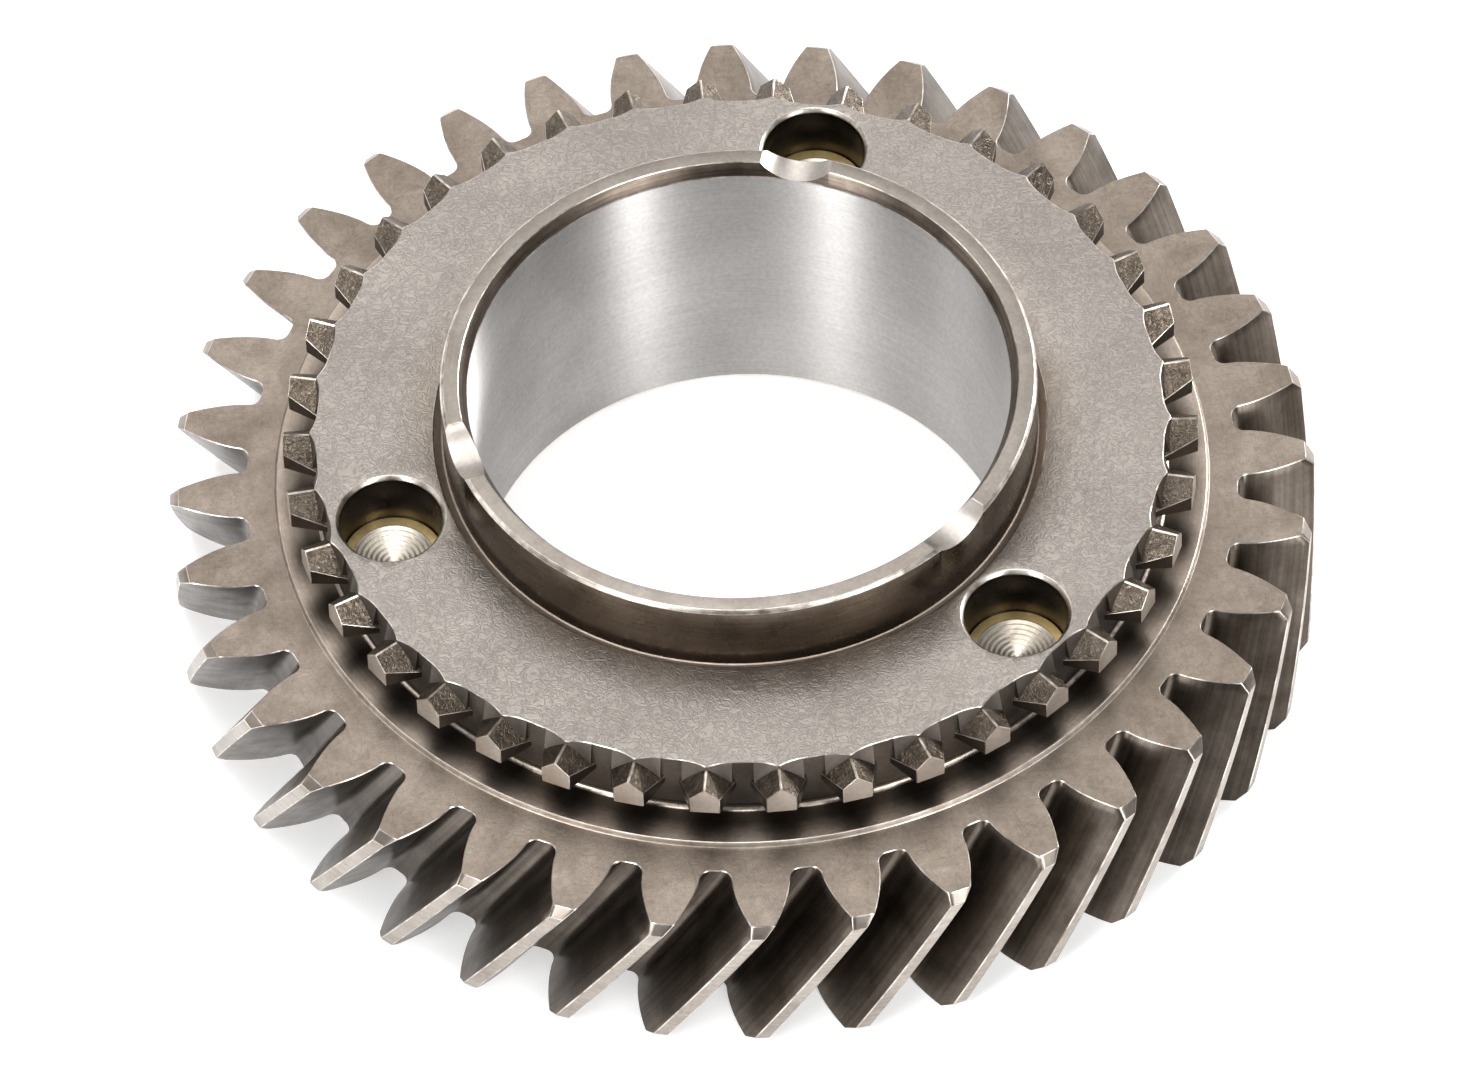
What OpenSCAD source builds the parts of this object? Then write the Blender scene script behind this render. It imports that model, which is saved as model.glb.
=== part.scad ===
// Helical transmission gear with an integral ring of pointed clutch teeth.
// The bore axis is Z. The underside lies on z = 0 and the hub collar points up.

/* [Helical teeth] */
// Number of helical teeth
gear_teeth = 36; // [35:1:37]
// Normal module of the helical teeth
normal_module = 3.8; // [3.72:0.02:3.9]
// Normal pressure angle in degrees
pressure_angle = 18; // [17:0.5:20.5]
// Helix angle at the pitch circle in degrees, right-handed
helix_angle = 30; // [29:0.5:31]
// Height of the teeth above the pitch circle
addendum = 5; // [4.4:0.1:5.3]
// Depth of the teeth below the pitch circle
dedendum = 6.3; // [5.6:0.1:6.6]
// How much thinner than half the pitch each tooth is
tooth_thinning = 0.5; // [0.1:0.05:0.8]
// Radius of the fillets at the tooth roots
root_fillet = 1.6; // [0.8:0.1:1.8]
// Turned chamfer on the tooth tips, at both faces
tip_chamfer = 1.4; // [0.5:0.1:2]
// Width of the toothed rim, face to face
face_width = 26.5; // [22:0.5:32]
// Turn of a tooth centre from +X at the upper face, in degrees
gear_phase = 4; // [0:0.5:10]

/* [Shoulder] */
// Diameter of the low shoulder on the upper face, round the foot of the clutch body
shoulder_d = 137; // [135:0.2:138]
// Height of the shoulder above the rim
shoulder_h = 0.8; // [0.4:0.1:2]
// Width of the slope round the edge of the shoulder
shoulder_slope_w = 0.3; // [0.1:0.05:0.8]
// Radius of the fillet at the foot of the clutch body
foot_fillet = 1; // [0.4:0.1:1.6]

/* [Clutch ring] */
// Number of clutch teeth
clutch_teeth = 38; // [34:1:39]
// Diameter of the clutch body between its teeth
clutch_body_d = 123.8; // [122.6:0.2:124.6]
// Height of the clutch body above the rim
clutch_body_h = 11.5; // [9:0.5:16]
// Diameter over the tips of the clutch teeth
clutch_tip_d = 133.6; // [130:0.2:134.4]
// Width of a clutch tooth where it leaves the body
clutch_root_w = 8.1; // [6:0.1:8.4]
// Width of a clutch tooth at its tip
clutch_tip_w = 4.3; // [3:0.1:5]
// Height of a clutch tooth from its underside to its ridge
clutch_tooth_h = 5.2; // [4.6:0.1:7]
// Slope of the two roof faces of a clutch tooth, in degrees
clutch_roof_slope = 44; // [35:1:46]
// How far the ridge lies below the face of the clutch body
clutch_ridge_drop = 0.4; // [0.2:0.1:1.5]
// How far the body stands out in a cusp behind each tooth
cusp_h = 0.9; // [0.5:0.1:1.4]
// Width of a cusp, flank to flank
cusp_w = 7; // [5:0.1:7.4]
// Turn of a clutch tooth from +X, in degrees
clutch_phase = 2.7; // [0:0.1:9]

/* [Hub collar and bore] */
// Diameter of the ground bore
bore_d = 79; // [76:0.1:79.8]
// Length of the bore's upper chamfer along the axis
bore_lead_h = 2; // [1:0.1:4]
// Width of the bore's upper chamfer
bore_lead_w = 1.15; // [0.5:0.05:1.3]
// Chamfer at the lower end of the bore
bore_foot_chamfer = 0.8; // [0.3:0.1:1.5]
// Outer diameter of the collar
collar_d = 86.8; // [86:0.1:87.4]
// Height of the collar above the clutch body
collar_h = 11; // [7:0.5:16]
// Chamfer on the outer edge of the collar
collar_chamfer = 0.45; // [0.2:0.05:0.8]
// Width of the relief turned in the clutch body round the collar
relief_w = 1.4; // [0.6:0.1:1.5]
// Depth of that relief at the collar's wall
relief_depth = 1.1; // [0.5:0.1:2]
// Radius of the round notches across the collar's face
notch_r = 7.6; // [6:0.2:12]
// Depth of the notches
notch_depth = 2.1; // [1:0.1:3.5]

/* [Pockets] */
// Number of blind pockets, and of notches in line with them
pockets = 3; // [2:1:6]
// Wall left between a pocket and the rim of the clutch body, and between it and the relief
pocket_wall = 1.05; // [0.8:0.05:2.5]
// Depth of a pocket down to the ring round its drilled point
pocket_depth = 9; // [6:0.5:12]
// Chamfer at the mouth of a pocket
pocket_chamfer = 0.5; // [0.2:0.05:0.6]
// Width of the flat ring at the bottom of a pocket
pocket_ring_w = 1.6; // [0.8:0.1:2.5]
// Depth of the drilled point below that ring
pocket_point_h = 1.7; // [0.8:0.1:2.5]
// Turn of the first pocket from +X, in degrees
pocket_phase = 90; // [0:5:90]

/* [Underside] */
// Inner diameter of the recess turned in the underside
recess_inner_d = 104; // [96:1:108]
// Outer diameter of that recess
recess_outer_d = 133; // [126:1:135]
// Depth of that recess
recess_depth = 1.2; // [0.6:0.1:2.5]

/* [Hidden] */
$fn = 180;
steel = "#8f8980";
bright = "#b9b6b0";
past = 1;

// Helical teeth, in the plane square to the axis
pitch_r = normal_module * gear_teeth / (2 * cos(helix_angle));
tip_r = pitch_r + addendum;
cut_r = tip_r + 0.4;
root_r = pitch_r - dedendum;
face_pressure = atan(tan(pressure_angle) / cos(helix_angle));
base_r = pitch_r * cos(face_pressure);
rim_twist = face_width * tan(helix_angle) / pitch_r * 180 / PI;
half_tooth = 90 / gear_teeth - tooth_thinning / (2 * pitch_r) * 180 / PI;
fillet_r = root_fillet;
fillet_centre_r = root_r + fillet_r;
flank_foot_r = max(base_r, sqrt(fillet_centre_r ^ 2 - fillet_r ^ 2));
flank_steps = 4;
fillet_steps = 3;
twist_slices = 6;

// Levels and radii that several features share
rim_z = face_width;
body_z = rim_z + clutch_body_h;
top_z = body_z + collar_h;
shoulder_z = rim_z + shoulder_h;
shoulder_r = shoulder_d / 2;
body_r = clutch_body_d / 2;
clutch_r = clutch_tip_d / 2;
bore_r = bore_d / 2;
collar_r = collar_d / 2;
ridge_z = body_z - clutch_ridge_drop;
under_z = ridge_z - clutch_tooth_h;
body_foot_z = rim_z - past;
relief_r = collar_r + relief_w;
pocket_r = (body_r - relief_r) / 2 - pocket_wall;
pocket_circle_r = (body_r + relief_r) / 2;
recess_in = recess_inner_d / 2;
recess_out = recess_outer_d / 2;

// Angle between the base circle's radius and the contact normal at radius r, less its tangent
function involute(r) =
    let (a = acos(min(1, base_r / r)))
    tan(a) * 180 / PI - a;

// Half the angle that a tooth takes up at radius r
function tooth_half_angle(r) = half_tooth + involute(pitch_r) - involute(r);

function polar(r, a) = [r * cos(a), r * sin(a)];

// One flank, from just outside the turned tip land down to the foot of the involute
function flank() = [
    for (i = [0 : flank_steps])
        let (r = cut_r + (flank_foot_r - cut_r) * i / flank_steps)
        [r, tooth_half_angle(r)]
];

// The root fillet that follows the flank, down to the root circle
function root_arc() =
    let (
        foot_angle = tooth_half_angle(flank_foot_r),
        centre = polar(fillet_centre_r, foot_angle + asin(fillet_r / fillet_centre_r)),
        centre_angle = atan2(centre[1], centre[0]),
        start = foot_angle - 90,
        end = centre_angle - 180
    )
    [
        for (i = [1 : fillet_steps])
            let (
                a = start + (end - start) * i / fillet_steps,
                p = centre + polar(fillet_r, a)
            )
            [norm(p), atan2(p[1], p[0])]
    ];

function half_profile() = concat(flank(), root_arc());

function reversed(list) = [for (i = [len(list) - 1 : -1 : 0]) list[i]];

// Outline of the toothed rim at the lower face, one tooth after another
function rim_outline() =
    let (half = half_profile())
    [
        for (k = [0 : gear_teeth - 1])
            let (turn = k * 360 / gear_teeth)
            each concat(
                [for (p = reversed(half)) polar(p[0], turn - p[1])],
                [for (p = half) polar(p[0], turn + p[1])]
            )
    ];

// The toothed blank: helical flanks, cut to the turned chamfers at both faces
module helical_rim() {
    color(steel)
    intersection() {
        rotate(gear_phase - rim_twist)
            linear_extrude(height = face_width, twist = -rim_twist, slices = twist_slices)
                polygon(rim_outline());
        rotate_extrude()
            polygon([
                [0, 0],
                [tip_r - tip_chamfer, 0],
                [tip_r, tip_chamfer],
                [tip_r, face_width - tip_chamfer],
                [tip_r - tip_chamfer, face_width],
                [0, face_width]
            ]);
    }
}

// The low turned shoulder on the upper face, with a sloping edge
module shoulder() {
    color(steel)
    rotate_extrude()
        polygon([
            [bore_r - past, body_foot_z],
            [shoulder_r + shoulder_slope_w * past / shoulder_h, body_foot_z],
            [shoulder_r - shoulder_slope_w, shoulder_z],
            [bore_r - past, shoulder_z]
        ]);
}

// The shallow recess turned in the underside
module underside_recess() {
    rotate_extrude()
        polygon([
            [recess_in - past, -past],
            [recess_out + past, -past],
            [recess_out - recess_depth, recess_depth],
            [recess_in + recess_depth, recess_depth]
        ]);
}

// The cusps in which the rim of the clutch body stands out behind each clutch tooth
function cusp_outline() =
    let (half = cusp_w / 2 / body_r * 180 / PI)
    [
        for (k = [0 : clutch_teeth - 1])
            let (a = clutch_phase + k * 360 / clutch_teeth)
            each [
                polar(body_r - cusp_h * 0.15, a - half),
                polar(body_r + cusp_h * 0.25, a - half * 0.5),
                polar(body_r + cusp_h, a - half * 0.05),
                polar(body_r + cusp_h, a + half * 0.05),
                polar(body_r + cusp_h * 0.25, a + half * 0.5),
                polar(body_r - cusp_h * 0.15, a + half)
            ]
    ];

// Clutch body: a turned disc with the cusps round its rim
module clutch_body() {
    color(steel)
    translate([0, 0, body_foot_z]) {
        cylinder(r = body_r, h = body_z - body_foot_z);
        linear_extrude(height = body_z - body_foot_z)
            polygon(cusp_outline());
    }
}

// The fillet between the clutch body and the shoulder
module body_foot() {
    color(steel)
    rotate_extrude()
        polygon(concat(
            [[bore_r - past, body_foot_z], [body_r + foot_fillet, body_foot_z]],
            [
                for (i = [0 : 6])
                    [body_r + foot_fillet, shoulder_z + foot_fillet]
                        - foot_fillet * [sin(i * 15), cos(i * 15)]
            ],
            [[bore_r - past, shoulder_z + foot_fillet]]
        ));
}

// One clutch tooth along +X: it narrows outwards and has a level ridge
module clutch_tooth() {
    inner_x = body_r - past;
    slope = tan(clutch_roof_slope);
    draft = (clutch_root_w - clutch_tip_w) / 2 / (clutch_r - body_r);
    ends = [
        [inner_x, clutch_root_w / 2 + draft * past],
        [clutch_r, clutch_tip_w / 2]
    ];
    section = [
        for (e = ends)
            each [
                [e[0], -e[1], under_z],
                [e[0], e[1], under_z],
                [e[0], e[1], ridge_z - slope * e[1]],
                [e[0], 0, ridge_z],
                [e[0], -e[1], ridge_z - slope * e[1]]
            ]
    ];
    color(steel)
    polyhedron(
        points = section,
        faces = [
            [0, 1, 2, 3, 4],
            [9, 8, 7, 6, 5],
            [0, 5, 6, 1],
            [1, 6, 7, 2],
            [2, 7, 8, 3],
            [3, 8, 9, 4],
            [4, 9, 5, 0]
        ]
    );
}

module clutch_ring() {
    for (k = [0 : clutch_teeth - 1])
        rotate(clutch_phase + k * 360 / clutch_teeth)
            clutch_tooth();
}

// The hub collar that carries on above the clutch body
module collar() {
    color(bright)
    rotate_extrude()
        polygon([
            [bore_r - past, body_foot_z],
            [collar_r, body_foot_z],
            [collar_r, top_z - collar_chamfer],
            [collar_r - collar_chamfer, top_z],
            [bore_r - past, top_z]
        ]);
}

// The relief in the clutch body round the collar, deepest at the collar's wall
module collar_relief() {
    rotate_extrude()
        polygon([
            [collar_r, body_z - relief_depth],
            [relief_r, body_z],
            [relief_r, body_z + past],
            [collar_r, body_z + past]
        ]);
}

// The ground bore with its chamfers
module bore() {
    translate([0, 0, -past])
        cylinder(r = bore_r, h = top_z + 2 * past);
    rotate_extrude()
        polygon([
            [0, top_z - bore_lead_h],
            [bore_r, top_z - bore_lead_h],
            [bore_r + bore_lead_w, top_z],
            [bore_r + bore_lead_w, top_z + past],
            [0, top_z + past]
        ]);
    rotate_extrude()
        polygon([
            [0, -past],
            [bore_r + bore_foot_chamfer + past, -past],
            [bore_r, bore_foot_chamfer],
            [0, bore_foot_chamfer]
        ]);
}

// One blind pocket with its chamfered mouth and drilled point, axis on Z
module pocket() {
    translate([0, 0, body_z - pocket_depth])
        cylinder(r = pocket_r, h = pocket_depth + past);
    translate([0, 0, body_z - pocket_chamfer])
        cylinder(r1 = pocket_r, r2 = pocket_r + 2 * pocket_chamfer, h = 2 * pocket_chamfer);
    translate([0, 0, body_z - pocket_depth - pocket_point_h])
        cylinder(r1 = 0, r2 = pocket_r - pocket_ring_w, h = pocket_point_h);
}

// One round notch across the collar's face, along +X
module collar_notch() {
    translate([0, 0, top_z - notch_depth + notch_r])
        rotate([0, 90, 0])
            cylinder(r = notch_r, h = collar_r + past);
}

module pockets_and_notches() {
    for (k = [0 : pockets - 1])
        rotate(pocket_phase + k * 360 / pockets) {
            translate([pocket_circle_r, 0, 0])
                pocket();
            collar_notch();
        }
}

module transmission_gear() {
    difference() {
        union() {
            difference() {
                helical_rim();
                underside_recess();
            }
            difference() {
                clutch_body();
                collar_relief();
            }
            shoulder();
            body_foot();
            clutch_ring();
            collar();
        }
        bore();
        pockets_and_notches();
    }
}

transmission_gear();
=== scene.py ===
"""Helical transmission gear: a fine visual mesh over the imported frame, with studio light."""
import math

import bmesh
import bpy
import numpy as np
from mathutils import Matrix, Vector


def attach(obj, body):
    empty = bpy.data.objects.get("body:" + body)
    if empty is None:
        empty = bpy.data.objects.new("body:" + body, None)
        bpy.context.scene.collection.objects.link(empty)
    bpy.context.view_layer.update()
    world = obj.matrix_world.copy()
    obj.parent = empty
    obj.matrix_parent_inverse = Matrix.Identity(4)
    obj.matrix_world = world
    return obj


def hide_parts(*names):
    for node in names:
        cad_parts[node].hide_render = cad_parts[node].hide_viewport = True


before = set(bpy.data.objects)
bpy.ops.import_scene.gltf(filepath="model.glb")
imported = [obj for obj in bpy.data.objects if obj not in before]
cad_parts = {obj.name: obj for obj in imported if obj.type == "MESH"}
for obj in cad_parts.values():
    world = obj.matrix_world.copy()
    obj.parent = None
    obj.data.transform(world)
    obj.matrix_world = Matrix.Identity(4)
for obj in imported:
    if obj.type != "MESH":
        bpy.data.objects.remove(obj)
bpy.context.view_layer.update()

MM = 0.001
NEAR_ZERO = 1e-6

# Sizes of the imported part, in millimetres
TEETH = 36
MODULE = 3.8
HELIX = math.radians(30)
PRESSURE = math.radians(18)
ADDENDUM = 5.0
DEDENDUM = 6.3
THINNING = 0.5
PITCH_R = MODULE * TEETH / (2 * math.cos(HELIX))
TIP_R = PITCH_R + ADDENDUM
ROOT_R = PITCH_R - DEDENDUM
FACE_PRESSURE = math.atan(math.tan(PRESSURE) / math.cos(HELIX))
BASE_R = PITCH_R * math.cos(FACE_PRESSURE)
FACE = 26.5
TWIST = FACE * math.tan(HELIX) / PITCH_R
HALF_TOOTH = math.pi / 2 / TEETH - THINNING / (2 * PITCH_R)
FILLET = 1.6
TIP_CHAMFER = 1.4
GEAR_PHASE = math.radians(4.0)
SHOULDER_R = 68.5
SHOULDER_Z = FACE + 0.8
SLOPE_W = 0.3
FOOT_FILLET = 1.0
BODY_R = 61.9
BODY_Z = FACE + 11.5
CLUTCH_TEETH = 38
CLUTCH_R = 66.8
CLUTCH_ROOT_W = 8.1
CLUTCH_TIP_W = 4.3
CLUTCH_H = 5.2
ROOF = math.tan(math.radians(44))
RIDGE_Z = BODY_Z - 0.4
UNDER_Z = RIDGE_Z - CLUTCH_H
CUSP_H = 0.9
CUSP_HALF = 3.6
CUSP_LEAN = 0.9
CUSP_FOOT_Z = RIDGE_Z - ROOF * CLUTCH_ROOT_W / 2
CLUTCH_PHASE = math.radians(2.7)
BORE_R = 39.5
COLLAR_R = 43.4
TOP_Z = BODY_Z + 11.0
LEAD_W = 1.15
LEAD_H = 2.0
RELIEF_W = 1.4
RELIEF_D = 1.1
NOTCH_R = 7.6
NOTCH_D = 2.1
POCKET_R = 7.5
POCKET_RC = 53.35
POCKET_D = 9.0
POCKET_POINT = 1.7
POCKET_ANGLES = [90.0, 210.0, 330.0]
BORE_CHAMFER = 0.8
RECESS_IN_R = 52.0
RECESS_OUT_R = 66.5
RECESS_D = 1.2

# Sizes of the mesh alone: broken edges, half the width of a bend, half the width of a cusp's
# tip, the height of the turned ripples on a pocket's cone and the angle from which an edge
# is drawn sharp
EDGE = 0.13
RIDGE_EDGE = 0.17
BEND = 0.07
CUSP_TIP = 0.16
RIPPLE = 0.033
SHARP = math.radians(28)

# Points to a gear tooth, a clutch tooth and a pocket. A ring on the rim has OUTER points and
# any other has INNER, a multiple of both counts of teeth; they are joined inside LINK_R.
TOOTH_POINTS = 38
CLUTCH_POINTS = 18
POCKET_POINTS = 96
OUTER = TOOTH_POINTS * TEETH
INNER = OUTER // 2
LINK_R = 70.9
EDGE_COLS = (2, 35)
TIP_COLS = (0, 1, 36, 37)


def involute(r):
    """The involute's angle at radius r."""
    a = math.acos(min(1.0, BASE_R / r))
    return math.tan(a) - a


def half_angle(r):
    """Half the angle that a gear tooth takes up at radius r."""
    return HALF_TOOTH + involute(PITCH_R) - involute(r)


def half_columns(r_max):
    """Radius and angle of 20 points, from the tooth's centre to the middle of the root."""
    cols = [(r_max, 0.0), (r_max, half_angle(r_max) * 0.55),
            (r_max, half_angle(r_max) - EDGE / r_max),
            (r_max - EDGE, half_angle(r_max - EDGE))]
    centre_r = ROOT_R + FILLET
    foot_r = max(BASE_R, math.sqrt(centre_r ** 2 - FILLET ** 2))
    top = r_max - EDGE
    flank_steps = 9
    for i in range(1, flank_steps + 1):
        r = top + (foot_r - top) * i / flank_steps
        cols.append((r, half_angle(r)))
    foot = half_angle(foot_r)
    centre_a = foot + math.asin(FILLET / centre_r)
    cx, cy = centre_r * math.cos(centre_a), centre_r * math.sin(centre_a)
    start, end = foot - math.pi / 2, centre_a - math.pi
    fillet_steps = 6
    for i in range(1, fillet_steps + 1):
        a = start + (end - start) * i / fillet_steps
        x, y = cx + FILLET * math.cos(a), cy + FILLET * math.sin(a)
        cols.append((math.hypot(x, y), math.atan2(y, x)))
    cols.append((ROOT_R, math.pi / TEETH))
    return cols


def outline(z):
    """The toothed outline at height z: an array of OUTER points."""
    r_max = min(TIP_R, TIP_R - TIP_CHAMFER + z, TIP_R - TIP_CHAMFER + FACE - z)
    half = half_columns(r_max)
    turn = GEAR_PHASE - TWIST * (1 - z / FACE)
    pitch = 2 * math.pi / TEETH
    middle = TOOTH_POINTS // 2
    pts = []
    for k in range(TEETH):
        for j in range(TOOTH_POINTS):
            if j <= middle:
                r, a = half[j]
                a = turn + k * pitch + a
            else:
                r, a = half[TOOTH_POINTS - j]
                a = turn + (k + 1) * pitch - a
            pts.append((r * math.cos(a), r * math.sin(a)))
    return np.array(pts)


def inset(pts, d):
    """The closed outline moved inwards by d along its mean normals."""
    before, after = np.roll(pts, 1, axis=0), np.roll(pts, -1, axis=0)
    u = pts - before
    v = after - pts
    u /= np.linalg.norm(u, axis=1)[:, None]
    v /= np.linalg.norm(v, axis=1)[:, None]
    n = np.stack([-(u[:, 1] + v[:, 1]), u[:, 0] + v[:, 0]], axis=1)
    n /= np.linalg.norm(n, axis=1)[:, None]
    miter = np.clip(-u[:, 1] * n[:, 0] + u[:, 0] * n[:, 1], 0.6, 1.0)
    return pts + n * (d / miter)[:, None]


def circle(r, count, turn):
    a = turn + np.arange(count) * 2 * math.pi / count
    return np.stack([r * np.cos(a), r * np.sin(a)], axis=1)


def scaled_to(pts, r):
    """The same angles as pts, at radius r."""
    return pts * (r / np.linalg.norm(pts, axis=1))[:, None]


# Distances along the body's rim from a clutch tooth's centre; None is halfway to the next
CUSP_COLS = [0.0, CUSP_TIP, 0.9, 1.8, 2.7, 3.4, CUSP_HALF - 0.02, CUSP_HALF + 0.02, 4.35, None]


def body_outline(z, less=0.0):
    """The rim of the clutch body at height z, INNER points, with its leaning cusps."""
    lean = CUSP_LEAN * (BODY_Z - z) / (BODY_Z - CUSP_FOOT_Z)
    cusped = z >= CUSP_FOOT_Z
    pitch = 2 * math.pi / CLUTCH_TEETH
    middle = CLUTCH_POINTS // 2
    pts = []
    for k in range(CLUTCH_TEETH):
        for j in range(CLUTCH_POINTS):
            t = CUSP_COLS[j if j <= middle else CLUTCH_POINTS - j]
            a = pitch / 2 if t is None else t / BODY_R
            r = BODY_R
            if cusped and t is not None and t < CUSP_HALF:
                r += CUSP_H * min(1.0, (CUSP_HALF - t) / (CUSP_HALF - CUSP_TIP)) ** 2 + lean
            a = CLUTCH_PHASE + k * pitch + (a if j <= middle else pitch - a)
            pts.append(((r - less) * math.cos(a), (r - less) * math.sin(a)))
    return np.array(pts)


class Skin:
    """A closed grid that runs ring by ring round the section of the part."""

    def __init__(self):
        self.verts = []
        self.faces = []
        self.mats = []
        self.first = None
        self.last = None

    def ring(self, pts, z, mat):
        """The next ring, joined to the last one by faces of mat, a name or a function."""
        start = len(self.verts)
        self.verts.extend((x * MM, y * MM, z * MM) for x, y in pts)
        now = list(range(start, start + len(pts)))
        if self.last is not None:
            self.join(self.last, now, mat)
        else:
            self.first = now
        self.last = now

    def join(self, a, b, mat):
        """Faces between two rings of the same count, or of which one has twice the other's."""
        if len(a) == len(b):
            n = len(a)
            for i in range(n):
                j = (i + 1) % n
                self.faces.append((a[i], b[i], b[j], a[j]))
                self.mats.append(M[mat(i) if callable(mat) else mat])
        elif len(a) == 2 * len(b):
            n = len(b)
            for i in range(n):
                j = (i + 1) % n
                self.faces.append((a[2 * i], b[i], b[j], a[(2 * i + 2) % (2 * n)], a[2 * i + 1]))
                self.mats.append(M[mat])
        else:
            n = len(a)
            for i in range(n):
                j = (i + 1) % n
                self.faces.append((a[i], b[2 * i], b[2 * i + 1], b[(2 * i + 2) % (2 * n)], a[j]))
                self.mats.append(M[mat])

    def turned(self, profile, turn):
        """Plain rings from (radius, height, material) rows."""
        for r, z, mat in profile:
            self.ring(circle(r, INNER, turn), z, mat)

    def close(self, mat):
        self.join(self.last, self.first, mat)


def tooth_material(tip):
    """The material of each column round the rim, with tip on the tooth's outer end."""
    def pick(i):
        j = i % TOOTH_POINTS
        if j in EDGE_COLS:
            return "edge"
        return tip if j in TIP_COLS else "flank"
    return pick


def build_blank():
    """The gear without its clutch teeth, pockets and notches.

    A ring at a bare radius only divides a flat face.
    """
    skin = Skin()
    # Foot of the bore, then outwards over the underside
    bore_foot_z = BORE_CHAMFER + 0.08
    recess_from, recess_to = RECESS_IN_R + RECESS_D, RECESS_OUT_R - RECESS_D
    skin.turned([
        (BORE_R, bore_foot_z, "bore"), (BORE_R + 0.07, BORE_CHAMFER - 0.04, "edge"),
        (BORE_R + BORE_CHAMFER - 0.05, 0.06, "lip"), (BORE_R + BORE_CHAMFER + 0.1, 0.0, "edge"),
        (45.5, 0.0, "under"), (RECESS_IN_R - 0.07, 0.0, "under"),
        (RECESS_IN_R + 0.08, 0.08, "edge"), (recess_from - 0.15, RECESS_D - 0.15, "under"),
        (recess_from + 0.15, RECESS_D, "under"), (59.0, RECESS_D, "under"),
        (recess_to - 0.15, RECESS_D, "under"), (recess_to + 0.15, RECESS_D - 0.15, "under"),
        (RECESS_OUT_R - 0.08, 0.08, "under"), (RECESS_OUT_R + 0.07, 0.0, "edge"),
        (69.2, 0.0, "under"),
    ], GEAR_PHASE - TWIST)
    # Up the helical teeth
    side, chamfer, bend = map(tooth_material, ("land", "chamfer", "edge"))
    low = outline(EDGE)
    skin.ring(scaled_to(inset(low, EDGE), LINK_R), 0.0, "under")
    skin.ring(inset(low, EDGE), 0.0, "under")
    skin.ring(low, EDGE, "edge")
    levels = 11
    heights = [TIP_CHAMFER + BEND + (FACE - 2 * TIP_CHAMFER - 2 * BEND) * i / levels
               for i in range(1, levels)]
    rings = [(TIP_CHAMFER - BEND, chamfer), (TIP_CHAMFER + BEND, bend)] \
        + [(z, side) for z in heights] \
        + [(FACE - TIP_CHAMFER - BEND, side), (FACE - TIP_CHAMFER + BEND, bend)]
    for z, mat in rings:
        skin.ring(outline(z), z, mat)
    high = outline(FACE - EDGE)
    skin.ring(high, FACE - EDGE, chamfer)
    # Inwards over the upper face of the rim and the edge of the shoulder
    skin.ring(inset(high, EDGE), FACE, "edge")
    skin.ring(scaled_to(inset(high, EDGE), LINK_R), FACE, "rim")
    skin.turned([
        (69.4, FACE, "rim"), (SHOULDER_R + 0.07, FACE, "rim"),
        # The brim rings carry a painted highlight along the shoulder's edge.
        (SHOULDER_R - 0.03, FACE + 0.1, "brim"), (SHOULDER_R - 0.09, FACE + 0.24, "brim"),
        (SHOULDER_R - SLOPE_W + 0.08, SHOULDER_Z - 0.22, "brim"),
        (SHOULDER_R - SLOPE_W, SHOULDER_Z - 0.07, "brim"),
        (SHOULDER_R - SLOPE_W - 0.13, SHOULDER_Z, "brim"), (65.8, SHOULDER_Z, "shoulder"),
    ], GEAR_PHASE)
    # Up the clutch body, where the columns follow the clutch teeth
    plain = body_outline(SHOULDER_Z)
    shift = int(round((CLUTCH_PHASE - GEAR_PHASE) / (2 * math.pi / INNER)))
    body = [(scaled_to(plain, 64.0), SHOULDER_Z, "shoulder")]
    fillet_steps = 5
    for i in range(fillet_steps + 1):
        a = math.radians(i * 90 / fillet_steps)
        r = BODY_R + FOOT_FILLET * (1.0 - math.sin(a))
        z = SHOULDER_Z + FOOT_FILLET * (1.0 - math.cos(a))
        # The middle of the fillet takes the lighter foot finish, a painted highlight.
        body.append((scaled_to(plain, r), z, "foot" if 1 < i < 4 else "shoulder"))
    for z in (CUSP_FOOT_Z - 0.4, CUSP_FOOT_Z, CUSP_FOOT_Z + 1.3, CUSP_FOOT_Z + 2.6, BODY_Z - 0.12):
        body.append((body_outline(z), z, "wall"))
    body += [(body_outline(BODY_Z, 0.12), BODY_Z, "edge"),
             (body_outline(BODY_Z, 0.6), BODY_Z, "disc"), (scaled_to(plain, 60.4), BODY_Z, "disc")]
    for pts, z, mat in body:
        skin.ring(np.roll(pts, shift, axis=0), z, mat)
    # Over the clutch face, through the relief, over the collar and down the lead to the bore
    relief_r = COLLAR_R + RELIEF_W
    relief_z = BODY_Z - RELIEF_D
    lead_r = BORE_R + LEAD_W
    bore_top_z = TOP_Z - LEAD_H - 0.1
    skin.turned([
        (58.5, BODY_Z, "disc"), (52.0, BODY_Z, "disc"), (relief_r + 0.14, BODY_Z, "disc"),
        (relief_r, BODY_Z - 0.05, "edge"), (relief_r - 0.16, BODY_Z - 0.18, "edge"),
        (COLLAR_R + 0.2, relief_z + 0.1, "relief"), (COLLAR_R, relief_z + 0.22, "relief"),
        (COLLAR_R, TOP_Z - 0.56, "collar_wall"), (COLLAR_R - 0.05, TOP_Z - 0.46, "edge"),
        (COLLAR_R - 0.42, TOP_Z - 0.06, "edge"), (COLLAR_R - 0.56, TOP_Z, "edge"),
        (lead_r + 0.12, TOP_Z, "collar"), (lead_r - 0.04, TOP_Z - 0.12, "edge"),
        (BORE_R + 0.09, TOP_Z - LEAD_H + 0.1, "lead"), (BORE_R, bore_top_z, "edge"),
    ], GEAR_PHASE)
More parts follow.
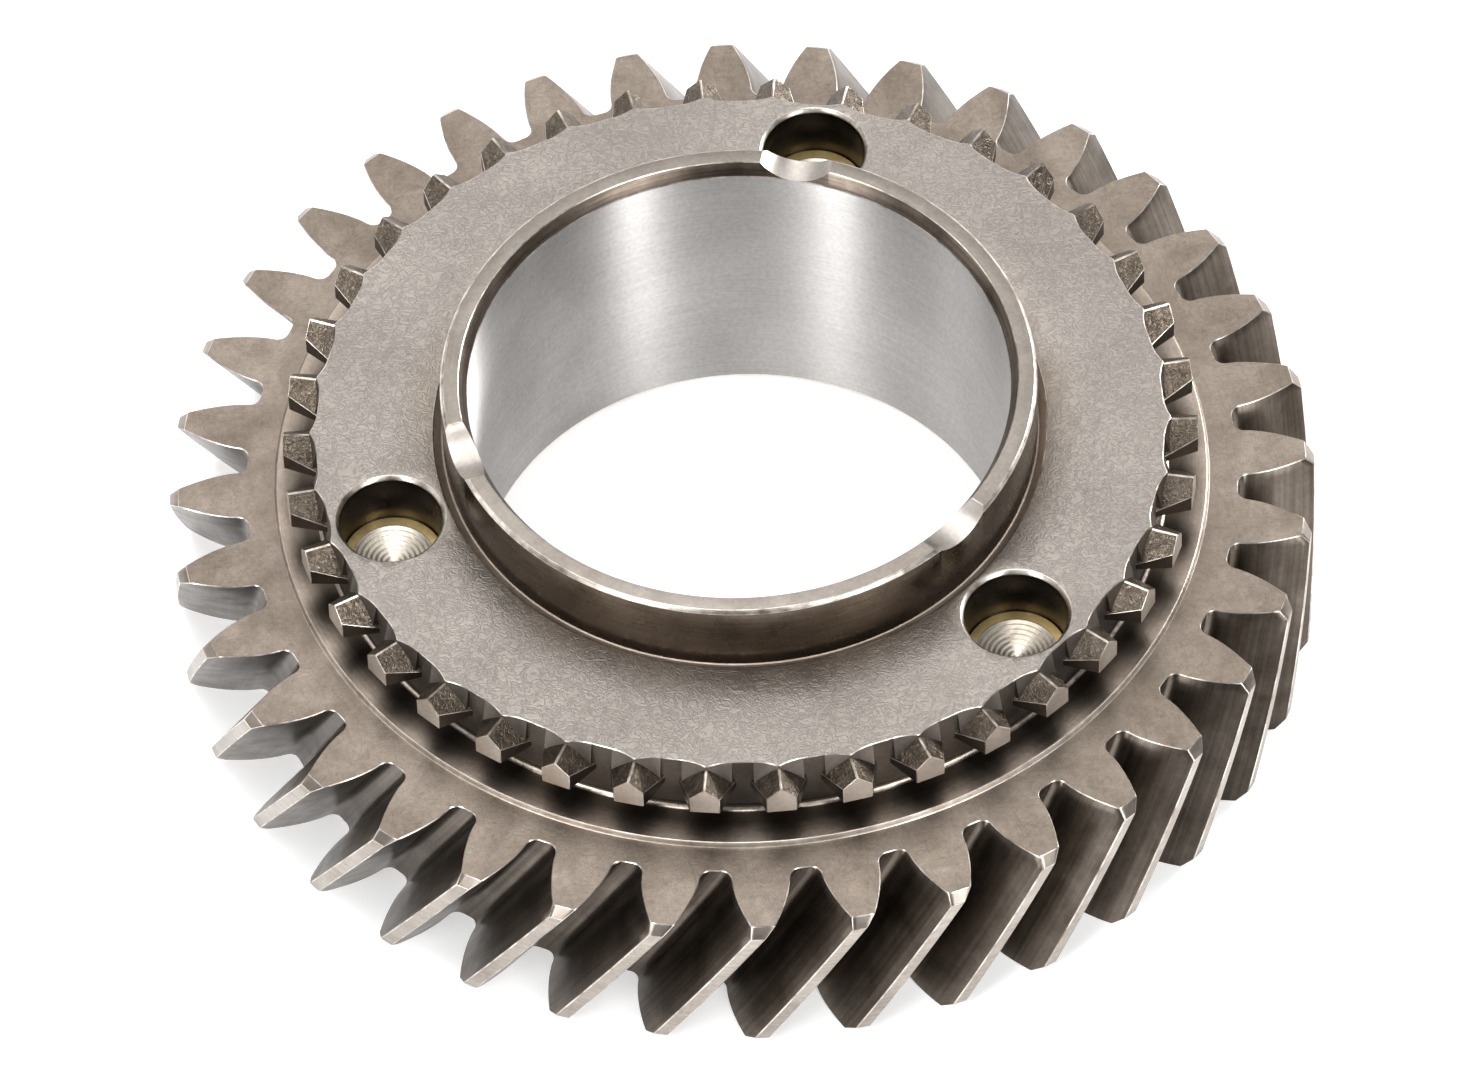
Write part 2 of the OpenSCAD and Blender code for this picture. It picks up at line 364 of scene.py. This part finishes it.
    # Down the bore, turning back to the angle of the foot
    levels = 7
    for i in range(1, levels):
        z = bore_top_z + (bore_foot_z - bore_top_z) * i / levels
        skin.turned([(BORE_R, z, "bore")], GEAR_PHASE - TWIST * i / levels)
    skin.close("bore")
    return mesh_object("gear_body", skin.verts, skin.faces, skin.mats)


def link_object(name, data):
    ob = bpy.data.objects.new(name, data)
    bpy.context.scene.collection.objects.link(ob)
    return ob


def mesh_object(name, verts, faces, mats):
    """A mesh with all the materials, given by index for each face, and outward normals."""
    mesh = bpy.data.meshes.new(name)
    mesh.from_pydata(verts, [], faces)
    for m in LOOK:
        mesh.materials.append(bpy.data.materials[m])
    mesh.polygons.foreach_set("material_index", mats)
    mesh.update()
    bm = bmesh.new()
    bm.from_mesh(mesh)
    bmesh.ops.recalc_face_normals(bm, faces=bm.faces)
    bm.to_mesh(mesh)
    bm.free()
    return link_object(name, mesh)


def build_clutch_teeth():
    """The pointed teeth as one mesh of separate closed solids, with their edges broken."""
    sunk = 1.0
    draft = (CLUTCH_ROOT_W - CLUTCH_TIP_W) / 2 / (CLUTCH_R - BODY_R) * sunk
    bm = bmesh.new()
    verts = []
    for x, w in ((BODY_R - sunk, CLUTCH_ROOT_W / 2 + draft), (CLUTCH_R, CLUTCH_TIP_W / 2)):
        for y, z in ((-w, UNDER_Z), (w, UNDER_Z), (w, RIDGE_Z - ROOF * w), (0.0, RIDGE_Z),
                     (-w, RIDGE_Z - ROOF * w)):
            verts.append(bm.verts.new((x, y, z)))
    faces = [((0, 1, 2, 3, 4), "clutch_side"), ((9, 8, 7, 6, 5), "clutch_front"),
             ((0, 5, 6, 1), "clutch_side"), ((1, 6, 7, 2), "clutch_side"),
             ((2, 7, 8, 3), "clutch_roof"), ((3, 8, 9, 4), "clutch_roof"),
             ((4, 9, 5, 0), "clutch_side")]
    for ids, mat in faces:
        f = bm.faces.new([verts[i] for i in ids])
        f.material_index = M[mat]
    bmesh.ops.recalc_face_normals(bm, faces=bm.faces)
    ridge = [e for e in bm.edges if all(abs(v.co.y) < NEAR_ZERO for v in e.verts)]
    bmesh.ops.bevel(bm, geom=ridge, offset=RIDGE_EDGE, segments=2, affect="EDGES",
                    material=M["edge"], clamp_overlap=True)
    blunt = math.radians(35)
    front = [e for e in bm.edges if any(v.co.x > CLUTCH_R - 0.01 for v in e.verts)
             and e.calc_face_angle(0.0) > blunt]
    bmesh.ops.bevel(bm, geom=front, offset=EDGE, segments=2, affect="EDGES",
                    material=M["edge"], clamp_overlap=True)
    bm.verts.index_update()
    co = [tuple(v.co) for v in bm.verts]
    polys = [[v.index for v in f.verts] for f in bm.faces]
    tooth_mats = [f.material_index for f in bm.faces]
    bm.free()
    verts, faces, mats = [], [], []
    for k in range(CLUTCH_TEETH):
        a = CLUTCH_PHASE + k * 2 * math.pi / CLUTCH_TEETH
        ca, sa = math.cos(a), math.sin(a)
        base = len(verts)
        verts.extend(((x * ca - y * sa) * MM, (x * sa + y * ca) * MM, z * MM) for x, y, z in co)
        faces.extend([i + base for i in p] for p in polys)
        mats.extend(tooth_mats)
    return mesh_object("clutch_teeth", verts, faces, mats)


def lathe_solid(profile, count):
    """A solid of revolution about Z from (radius, height, material) rows, from axis to axis.

    The material is that of the faces up to the next row.
    """
    verts, faces, mats, rings = [], [], [], []
    for r, z, _ in profile:
        if r < NEAR_ZERO:
            rings.append([len(verts)])
            verts.append((0.0, 0.0, z))
        else:
            rings.append(list(range(len(verts), len(verts) + count)))
            verts.extend((r * math.cos(2 * math.pi * i / count),
                          r * math.sin(2 * math.pi * i / count), z) for i in range(count))
    for a, b, row in zip(rings, rings[1:], profile):
        for i in range(count):
            j = (i + 1) % count
            if len(a) == 1:
                faces.append((a[0], b[i], b[j]))
            elif len(b) == 1:
                faces.append((a[i], a[j], b[0]))
            else:
                faces.append((a[i], b[i], b[j], a[j]))
            mats.append(M[row[2]])
    return verts, faces, mats


def pocket_solid():
    """A pocket's cutter: chamfered mouth, wall, brass ring and a rippled cone."""
    top, bottom, r = BODY_Z, BODY_Z - POCKET_D, POCKET_R
    profile = [(0.0, top + 1.0, "edge"), (r + 1.6, top + 0.6, "edge"),
               (r + 0.82, top + 0.1, "edge"), (r + 0.47, top - 0.06, "edge"),
               (r + 0.05, top - 0.46, "edge"), (r, top - 0.58, "pocket_wall"),
               (r, bottom + 0.25, "pocket_wall"), (r - 0.2, bottom, "pocket_ring"),
               (r - 1.5, bottom, "pocket_cone")]
    steps = 32
    for i in range(steps):
        t = i / steps
        ripple = RIPPLE * math.sin(math.pi * i / 2) if i else 0.0
        profile.append(((r - 1.6) * (1 - t), bottom - POCKET_POINT * t + ripple, "pocket_cone"))
    profile.append((0.0, bottom - POCKET_POINT, "pocket_cone"))
    return lathe_solid(profile, POCKET_POINTS)


def notch_solid():
    """A notch's cutter: a trough along X across the collar, flared at its mouth."""
    x_in, x_out, steps = 36.0, 46.0, 20
    centre_z = TOP_Z - NOTCH_D + NOTCH_R
    end = math.acos((centre_z - TOP_Z + 0.07) / NOTCH_R)
    section = []
    for i in range(steps + 1):
        a = -end + 2 * end * i / steps
        section.append((NOTCH_R * math.sin(a), centre_z - NOTCH_R * math.cos(a)))
    y = section[-1][0]
    section = [(-y - 1.2, TOP_Z + 3), (-y - 0.24, TOP_Z + 0.04)] + section \
        + [(y + 0.24, TOP_Z + 0.04), (y + 1.2, TOP_Z + 3)]
    n = len(section)
    verts = [(x, y, z) for x in (x_in, x_out) for y, z in section]
    faces = [tuple(range(n)), tuple(range(2 * n - 1, n - 1, -1))]
    faces += [(i, i + n, (i + 1) % n + n, (i + 1) % n) for i in range(n)]
    flares = (1, n - 3)
    mats = [M["notch"]] * 2 + [M["edge" if i in flares else "notch"] for i in range(n)]
    return verts, faces, mats


def build_cutters():
    """Three pockets and three notches, one mesh of separate closed solids."""
    pocket, notch = pocket_solid(), notch_solid()
    verts, faces, mats = [], [], []
    for angle in POCKET_ANGLES:
        turn = Matrix.Rotation(math.radians(angle), 4, "Z")
        on_circle = turn @ Matrix.Translation((POCKET_RC, 0, 0))
        for solid, matrix in ((pocket, on_circle), (notch, turn)):
            base = len(verts)
            placed = [matrix @ Vector(v) for v in solid[0]]
            verts.extend((w.x * MM, w.y * MM, w.z * MM) for w in placed)
            faces.extend([i + base for i in f] for f in solid[1])
            mats.extend(solid[2])
    return mesh_object("cutters", verts, faces, mats)


def apply_boolean(target, tool, operation):
    """Apply one Boolean to the target's mesh and remove the tool."""
    mod = target.modifiers.new(operation, "BOOLEAN")
    mod.operation = operation
    mod.object = tool
    mod.solver = "MANIFOLD"
    dg = bpy.context.evaluated_depsgraph_get()
    mesh = bpy.data.meshes.new_from_object(target.evaluated_get(dg), depsgraph=dg)
    target.modifiers.clear()
    old = target.data
    target.data = mesh
    bpy.data.meshes.remove(old)
    bpy.data.objects.remove(tool)


# Noise scales per metre, across and along the marks of turning and of hobbing; those round
# the axis are per radian
TURNING_SCALE, ROUND_SCALE = 2600.0, 3.0
HOBBING_SCALE, HELIX_SCALE = 1400.0, 30.0
VEIN_SCALE = 620.0
# Scratches: angle and noise scale along them, and how many times finer they are across
SCRATCHES = ((0.4, 55.0), (1.9, 70.0), (2.7, 90.0))
SCRATCH_STRETCH = 7


class Graph:
    """Short names for the shader nodes of one material."""

    def __init__(self, name):
        self.mat = bpy.data.materials.new(name)
        self.mat.use_nodes = True
        self.tree = self.mat.node_tree
        self.bsdf = self.tree.nodes["Principled BSDF"]
        self.bsdf.inputs["Metallic"].default_value = 1.0
        self.place = self.node("ShaderNodeTexCoord").outputs["Object"]
        xyz = self.node("ShaderNodeSeparateXYZ", Vector=self.place)
        self.x, self.y, self.z = xyz.outputs
        self.r = self.math("SQRT", self.math("ADD", self.math("MULTIPLY", self.x, self.x),
                                             self.math("MULTIPLY", self.y, self.y)))
        self.ux = self.math("DIVIDE", self.x, self.r)
        self.uy = self.math("DIVIDE", self.y, self.r)

    def put(self, socket, value):
        """Link a socket, or set its value."""
        if isinstance(value, bpy.types.NodeSocket):
            self.tree.links.new(value, socket)
        elif isinstance(value, tuple) and len(socket.default_value) == 4:
            socket.default_value = (*value, 1)
        else:
            socket.default_value = value

    def node(self, kind, **inputs):
        """A node with its inputs given by name, with _ for a space."""
        n = self.tree.nodes.new(kind)
        for key, value in inputs.items():
            self.put(n.inputs[key.replace("_", " ")], value)
        return n

    def math(self, op, a, b=0.0, clamp=False):
        n = self.tree.nodes.new("ShaderNodeMath")
        n.operation = op
        n.use_clamp = clamp
        self.put(n.inputs[0], a)
        self.put(n.inputs[1], b)
        return n.outputs[0]

    def span(self, value, lo, hi, out_lo=0.0, out_hi=1.0):
        """The value mapped from lo..hi to out_lo..out_hi and held there."""
        n = self.node("ShaderNodeMapRange", Value=value)
        n.inputs["From Min"].default_value = lo
        n.inputs["From Max"].default_value = hi
        n.inputs["To Min"].default_value = out_lo
        n.inputs["To Max"].default_value = out_hi
        return n.outputs["Result"]

    def mix(self, factor, a, b, blend="MIX"):
        n = self.tree.nodes.new("ShaderNodeMix")
        n.data_type = "RGBA"
        n.blend_type = blend
        self.put(n.inputs[0], factor)
        self.put(n.inputs[6], a)
        self.put(n.inputs[7], b)
        return n.outputs[2]

    def vector(self, x, y, z):
        return self.node("ShaderNodeCombineXYZ", X=x, Y=y, Z=z).outputs[0]

    def noise(self, place, scale, detail=3.0, rough=0.5, twist=0.0):
        n = self.node("ShaderNodeTexNoise", Vector=place, Scale=scale, Detail=detail,
                      Roughness=rough, Distortion=twist)
        return n.outputs["Fac"]

    def turned_x(self, c, s):
        """X turned by the angle whose cosine and sine are c and s."""
        return self.math("ADD", self.math("MULTIPLY", self.x, c), self.math("MULTIPLY", self.y, s))

    def turned_y(self, c, s):
        """Y turned by the same angle."""
        return self.math("SUBTRACT", self.math("MULTIPLY", self.y, c),
                         self.math("MULTIPLY", self.x, s))

    def lines(self, kind):
        """Coordinates whose noise runs out into fine tool marks.

        The marks run round the axis on a face, "ring", or on a wall, "wall", and otherwise
        along the helix of the teeth.
        """
        if kind in ("ring", "wall"):
            return self.vector(self.math("MULTIPLY", self.ux, ROUND_SCALE),
                               self.math("MULTIPLY", self.uy, ROUND_SCALE),
                               self.math("MULTIPLY", self.r if kind == "ring" else self.z,
                                         TURNING_SCALE))
        turn = self.math("MULTIPLY", self.z, TWIST / FACE / MM)
        c, s = self.math("COSINE", turn), self.math("SINE", turn)
        return self.vector(self.math("MULTIPLY", self.turned_x(c, s), HOBBING_SCALE),
                           self.math("MULTIPLY", self.turned_y(c, s), HOBBING_SCALE),
                           self.math("MULTIPLY", self.z, HELIX_SCALE))


def metal(name, dark, light, rough, patch=90.0, grain=1500.0, marks=None, mark_depth=0.15,
          bump=0.1, spread=0.0, tint=None, veins=0.0, scratches=0.0):
    """One finish: two shades in patches, a fine grain, tool marks and a little relief.

    The scales patch and grain are per metre. marks names the run of the tool marks, and
    mark_depth, veins and scratches say how far each darkens. spread is the anisotropy round
    the axis, and tint recolours last, with stains on some finishes and painted shade and painted
    reflections on others.
    """
    g = Graph(name)
    patches = g.noise(g.place, patch, 5.0, 0.6, 0.5)
    colour = g.mix(g.span(patches, 0.34, 0.66), dark, light)
    fine = g.noise(g.place, grain, 3.0, 0.6)
    shade = g.span(fine, 0.3, 0.7, 0.9, 1.08)
    relief = fine
    if marks:
        streak = g.noise(g.lines(marks), 1.0, 4.0, 0.65)
        shade = g.math("MULTIPLY", shade,
                       g.span(streak, 0.3, 0.7, 1.0 - mark_depth, 1.0 + mark_depth))
        relief = g.math("ADD", g.math("MULTIPLY", fine, 0.4), streak)
    if veins:
        wave = g.noise(g.place, VEIN_SCALE, 3.0, 0.55, 1.8)
        vein = g.math("ABSOLUTE", g.math("SUBTRACT", wave, 0.5))
        shade = g.math("MULTIPLY", shade, g.span(vein, 0.0, 0.07, 1.0 - veins, 1.02))
        relief = g.math("ADD", relief, g.span(vein, 0.0, 0.1, 0.0, 1.2))
    if scratches:
        for turn, size in SCRATCHES:
            c, s = math.cos(turn) * size, math.sin(turn) * size
            across = g.turned_x(c * SCRATCH_STRETCH, s * SCRATCH_STRETCH)
            along = g.turned_y(c, s)
            mark = g.noise(g.vector(across, along, 0.0), 1.0, 4.0, 0.6, 0.8)
            mark = g.math("ABSOLUTE", g.math("SUBTRACT", mark, 0.47))
            shade = g.math("MULTIPLY", shade, g.span(mark, 0.0, 0.012, 1.0 - scratches, 1.0))
    colour = g.mix(1.0, colour, g.vector(shade, shade, shade), "MULTIPLY")
    if tint:
        colour = tint(g, colour)
    g.put(g.bsdf.inputs["Base Color"], colour)
    g.put(g.bsdf.inputs["Roughness"],
          g.span(g.noise(g.place, patch * 3, 3.0), 0.3, 0.7, rough - 0.05, rough + 0.06))
    if bump:
        n = g.node("ShaderNodeBump", Height=relief, Strength=bump, Distance=0.00005)
        g.put(g.bsdf.inputs["Normal"], n.outputs["Normal"])
    if spread:
        t = g.tree.nodes.new("ShaderNodeTangent")
        t.direction_type = "RADIAL"
        t.axis = "Z"
        g.put(g.bsdf.inputs["Tangent"], t.outputs[0])
        g.bsdf.inputs["Anisotropic"].default_value = spread
        g.bsdf.inputs["Anisotropic Rotation"].default_value = 0.25
    return g.mat


# Tints: the radii and heights that they span are in metres
def rim_tint(g, colour):
    """Darker in waves towards the shoulder."""
    wave = g.noise(g.place, 160.0, 4.0, 0.6, 1.2)
    near = g.math("ADD", g.span(g.r, 0.0735, 0.0690), g.span(wave, 0.3, 0.7, -0.5, 0.35),
                  clamp=True)
    return g.mix(g.math("MULTIPLY", near, 0.28), colour, (0.19, 0.155, 0.125))


def disc_painted_reflection(g, colour):
    """A golden brown painted reflection of the collar's wall on the disc, round the relief."""
    wave = g.noise(g.place, 60.0, 2.0)
    near = g.math("MULTIPLY", g.span(g.r, 0.0500, 0.0448), g.span(wave, 0.3, 0.6))
    return g.mix(g.math("MULTIPLY", near, 0.5), colour, (0.32, 0.25, 0.18))


def shoulder_painted_shade(g, colour):
    """Painted shade and a painted reflection of the clutch body: dark at the body's foot, like the
    rim outwards.
    """
    near = g.span(g.r, 0.0680, 0.0645)
    return g.mix(g.math("MULTIPLY", near, 0.85), colour, (0.05, 0.04, 0.031))


def roof_tint(g, colour):
    """A dark stain on every tooth, through which bright specks show."""
    wave = g.noise(g.place, 2200.0, 3.0, 0.6)
    dark = g.span(wave, 0.70, 0.54)
    return g.mix(g.math("MULTIPLY", dark, 0.62), colour, (0.045, 0.034, 0.025))


def wall_painted_shade(g, colour):
    """Painted shade: the collar's wall darkens towards its foot."""
    low = g.span(g.z, 0.0460, 0.0365)
    return g.mix(g.math("MULTIPLY", low, 0.7), colour, (0.05, 0.04, 0.032))


# The finishes, as arguments of metal(), in the order of the material slots
LOOK = {
    "rim": dict(dark=(0.178, 0.146, 0.118), light=(0.28, 0.235, 0.195), rough=0.41, patch=90.0,
                grain=1300.0, bump=0.16, tint=rim_tint, veins=0.12, scratches=0.16),
    # The flanks are dark: painted shade between the helical teeth.
    "flank": dict(dark=(0.082, 0.066, 0.053), light=(0.16, 0.135, 0.113), rough=0.33,
                  marks="helix", mark_depth=0.3, bump=0.1),
    "land": dict(dark=(0.30, 0.262, 0.23), light=(0.42, 0.38, 0.342), rough=0.30, marks="wall"),
    "edge": dict(dark=(0.28, 0.235, 0.195), light=(0.82, 0.765, 0.70), rough=0.33, patch=300.0,
                 bump=0.05),
    "shoulder": dict(dark=(0.24, 0.196, 0.16), light=(0.35, 0.293, 0.244), rough=0.35,
                     marks="ring", mark_depth=0.12, bump=0.12, tint=shoulder_painted_shade, veins=0.06),
    # The clutch body's wall is dark: painted shade between the clutch teeth.
    "wall": dict(dark=(0.12, 0.104, 0.09), light=(0.19, 0.169, 0.15), rough=0.42),
    "disc": dict(dark=(0.292, 0.263, 0.237), light=(0.345, 0.312, 0.283), rough=0.46,
                 patch=40.0, grain=2000.0, bump=0.45, tint=disc_painted_reflection, veins=0.19,
                 scratches=0.06),
    "relief": dict(dark=(0.42, 0.352, 0.295), light=(0.54, 0.465, 0.40), rough=0.55,
                   marks="ring"),
    "collar": dict(dark=(0.26, 0.229, 0.20), light=(0.31, 0.278, 0.246), rough=0.48,
                   patch=120.0, marks="ring", mark_depth=0.05, bump=0.25, veins=0.05),
    "collar_wall": dict(dark=(0.095, 0.073, 0.055), light=(0.15, 0.118, 0.091), rough=0.27,
                        marks="wall", mark_depth=0.2, tint=wall_painted_shade),
    "lead": dict(dark=(0.11, 0.087, 0.069), light=(0.20, 0.164, 0.134), rough=0.32,
                 marks="wall", mark_depth=0.4),
    "bore": dict(dark=(0.53, 0.515, 0.502), light=(0.59, 0.575, 0.562), rough=0.48, patch=25.0,
                 marks="wall", mark_depth=0.07, bump=0.04, spread=0.98),
    "clutch_roof": dict(dark=(0.20, 0.163, 0.128), light=(0.34, 0.284, 0.228), rough=0.36,
                        patch=500.0, grain=2600.0, bump=0.8, veins=0.12, tint=roof_tint),
    "clutch_front": dict(dark=(0.42, 0.365, 0.315), light=(0.58, 0.51, 0.45), rough=0.44),
    # The sides of the clutch teeth are nearly black: painted shade between the teeth.
    "clutch_side": dict(dark=(0.05, 0.04, 0.032), light=(0.10, 0.083, 0.068), rough=0.42),
    # The pocket's wall is nearly black: painted shade inside the deep pocket.
    "pocket_wall": dict(dark=(0.03, 0.024, 0.019), light=(0.06, 0.05, 0.041), rough=0.3,
                        marks="wall"),
    "pocket_ring": dict(dark=(0.80, 0.60, 0.25), light=(0.95, 0.74, 0.34), rough=0.42),
    "pocket_cone": dict(dark=(0.32, 0.283, 0.232), light=(0.52, 0.472, 0.40), rough=0.33,
                        bump=0.05, marks="ring", mark_depth=0.2),
    "under": dict(dark=(0.28, 0.245, 0.213), light=(0.36, 0.32, 0.285), rough=0.38,
                  marks="ring"),
    "notch": dict(dark=(0.44, 0.402, 0.362), light=(0.56, 0.522, 0.482), rough=0.38),
    "lip": dict(dark=(0.58, 0.47, 0.38), light=(0.78, 0.68, 0.58), rough=0.5),
    # The foot is a lighter copy of the shoulder's finish on the middle of the fillet: a painted
    # highlight over the fillet's own.
    "foot": dict(dark=(0.24, 0.196, 0.16), light=(0.56, 0.488, 0.42), rough=0.30, patch=300.0),
    "chamfer": dict(dark=(0.22, 0.187, 0.16), light=(0.32, 0.28, 0.245), rough=0.34),
    # The brim is a light finish on the shoulder's edge: a painted highlight over the real
    # highlights of its rounded edges.
    "brim": dict(dark=(0.44, 0.375, 0.315), light=(0.78, 0.70, 0.62), rough=0.42, patch=200.0),
}
M = {name: i for i, name in enumerate(LOOK)}
for name, look in LOOK.items():
    metal(name, **look)

gear = build_blank()
apply_boolean(gear, build_clutch_teeth(), "UNION")
apply_boolean(gear, build_cutters(), "DIFFERENCE")
gear.name = "gear_visual"
gear.data.name = "gear_visual"
gear.data.shade_smooth()
gear.data.set_sharp_from_angle(angle=SHARP)
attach(gear, "root")
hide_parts("transmission_gear")
print("gear mesh", len(gear.data.vertices), len(gear.data.polygons),
      sum(len(p.vertices) - 2 for p in gear.data.polygons))

# Floor: it glows for the camera and in reflections, and can be seen through from below
FLOOR_Z = -0.0001
FLOOR_HALF = 3
FLOOR_GLOW = 0.42
floor_mesh = bpy.data.meshes.new("floor")
floor_mesh.from_pydata([(x * FLOOR_HALF, y * FLOOR_HALF, FLOOR_Z)
                        for x, y in ((-1, -1), (1, -1), (1, 1), (-1, 1))], [], [(0, 1, 2, 3)])
floor = link_object("floor", floor_mesh)
floor_mat = bpy.data.materials.new("floor")
floor_mat.use_nodes = True
nodes, links = floor_mat.node_tree.nodes, floor_mat.node_tree.links
paint = nodes["Principled BSDF"]
paint.inputs["Base Color"].default_value = (0.85, 0.85, 0.85, 1)
paint.inputs["Roughness"].default_value = 0.9
paint.inputs["Emission Color"].default_value = (1, 1, 1, 1)
path = nodes.new("ShaderNodeLightPath")
seen = nodes.new("ShaderNodeMath")
seen.operation = "MAXIMUM"
glow = nodes.new("ShaderNodeMath")
glow.operation = "MULTIPLY"
glow.inputs[1].default_value = FLOOR_GLOW
links.new(path.outputs["Is Camera Ray"], seen.inputs[0])
links.new(path.outputs["Is Glossy Ray"], seen.inputs[1])
links.new(seen.outputs[0], glow.inputs[0])
links.new(glow.outputs[0], paint.inputs["Emission Strength"])
side = nodes.new("ShaderNodeNewGeometry")
clear = nodes.new("ShaderNodeBsdfTransparent")
choice = nodes.new("ShaderNodeMixShader")
links.new(side.outputs["Backfacing"], choice.inputs[0])
links.new(paint.outputs[0], choice.inputs[1])
links.new(clear.outputs[0], choice.inputs[2])
links.new(choice.outputs[0], nodes["Material Output"].inputs["Surface"])
floor_mesh.materials.append(floor_mat)

# Camera: its focal length is in pixels of the photo
AZ = math.radians(13.5)
EL = math.radians(51.7)
ROLL = math.radians(-2.1)
DIST = 1800.0
FOCAL_PX = 12330.0
PHOTO_W = 1477
SENSOR_W = 36
out = Vector((math.sin(AZ), -math.cos(AZ), 0))
right = Vector((math.cos(AZ), math.sin(AZ), 0))
target = (right * -0.8 + out * 11.0 + Vector((0, 0, FACE))) * MM
back = (out * math.cos(EL) + Vector((0, 0, math.sin(EL)))).normalized()
cam_data = bpy.data.cameras.new("camera")
cam = link_object("camera", cam_data)
cam_data.sensor_width = SENSOR_W
cam_data.lens = FOCAL_PX / PHOTO_W * SENSOR_W
cam_data.clip_start = 0.05
cam_data.clip_end = 20
cam.location = target + back * DIST * MM
rot = (-back).to_track_quat("-Z", "Y").to_matrix().to_4x4()
cam.rotation_euler = (rot @ Matrix.Rotation(ROLL, 4, "Z")).to_euler()
bpy.context.scene.camera = cam

# Light
AIM = Vector((0, 0, 0.02))


def around(azimuth, elevation, distance):
    """A place seen from the gear: azimuth 0 is the picture's right, 90 is away from the camera."""
    a = math.radians(azimuth) + AZ
    e = math.radians(elevation)
    return Vector((distance * math.cos(e) * math.cos(a), distance * math.cos(e) * math.sin(a),
                   distance * math.sin(e)))


def lamp(name, place, width, height, power):
    """A rectangular lamp that faces the gear."""
    data = bpy.data.lights.new(name, "AREA")
    data.energy = power
    data.shape = "RECTANGLE"
    data.size = width
    data.size_y = height
    ob = link_object(name, data)
    ob.location = place
    ob.rotation_euler = (place - AIM).to_track_quat("Z", "Y").to_euler()


lamp("back", around(102, 61, 1.7), 1.3, 1.3, 9.7)
lamp("top", around(200, 82, 1.8), 1.0, 1.0, 14)
lamp("band_right", around(-54, 33, 1.4), 0.26, 1.2, 11)
lamp("band_left", around(-129, 33, 1.4), 0.26, 1.2, 10)
lamp("left", around(178, 25, 1.5), 0.6, 0.8, 2.5)
lamp("side_right", around(34, 20, 1.6), 0.5, 0.3, 15)

# The room is bright behind the gear and dim behind the camera
ROOM_DIM, ROOM_BRIGHT = 0.06, 0.66
world = bpy.data.worlds.new("world")
bpy.context.scene.world = world
world.use_nodes = True
nodes, links = world.node_tree.nodes, world.node_tree.links
background = nodes["Background"]
background.inputs["Color"].default_value = (1, 1, 1, 1)
sky = nodes.new("ShaderNodeTexCoord")
facing = nodes.new("ShaderNodeVectorMath")
facing.operation = "DOT_PRODUCT"
facing.inputs[1].default_value = (-out.x, -out.y, 0)
room = nodes.new("ShaderNodeMapRange")
room.inputs["From Min"].default_value = -1
room.inputs["To Min"].default_value = ROOM_DIM
room.inputs["To Max"].default_value = ROOM_BRIGHT
links.new(sky.outputs["Generated"], facing.inputs[0])
links.new(facing.outputs["Value"], room.inputs["Value"])
links.new(room.outputs["Result"], background.inputs["Strength"])

bpy.context.scene.view_settings.view_transform = "Standard"
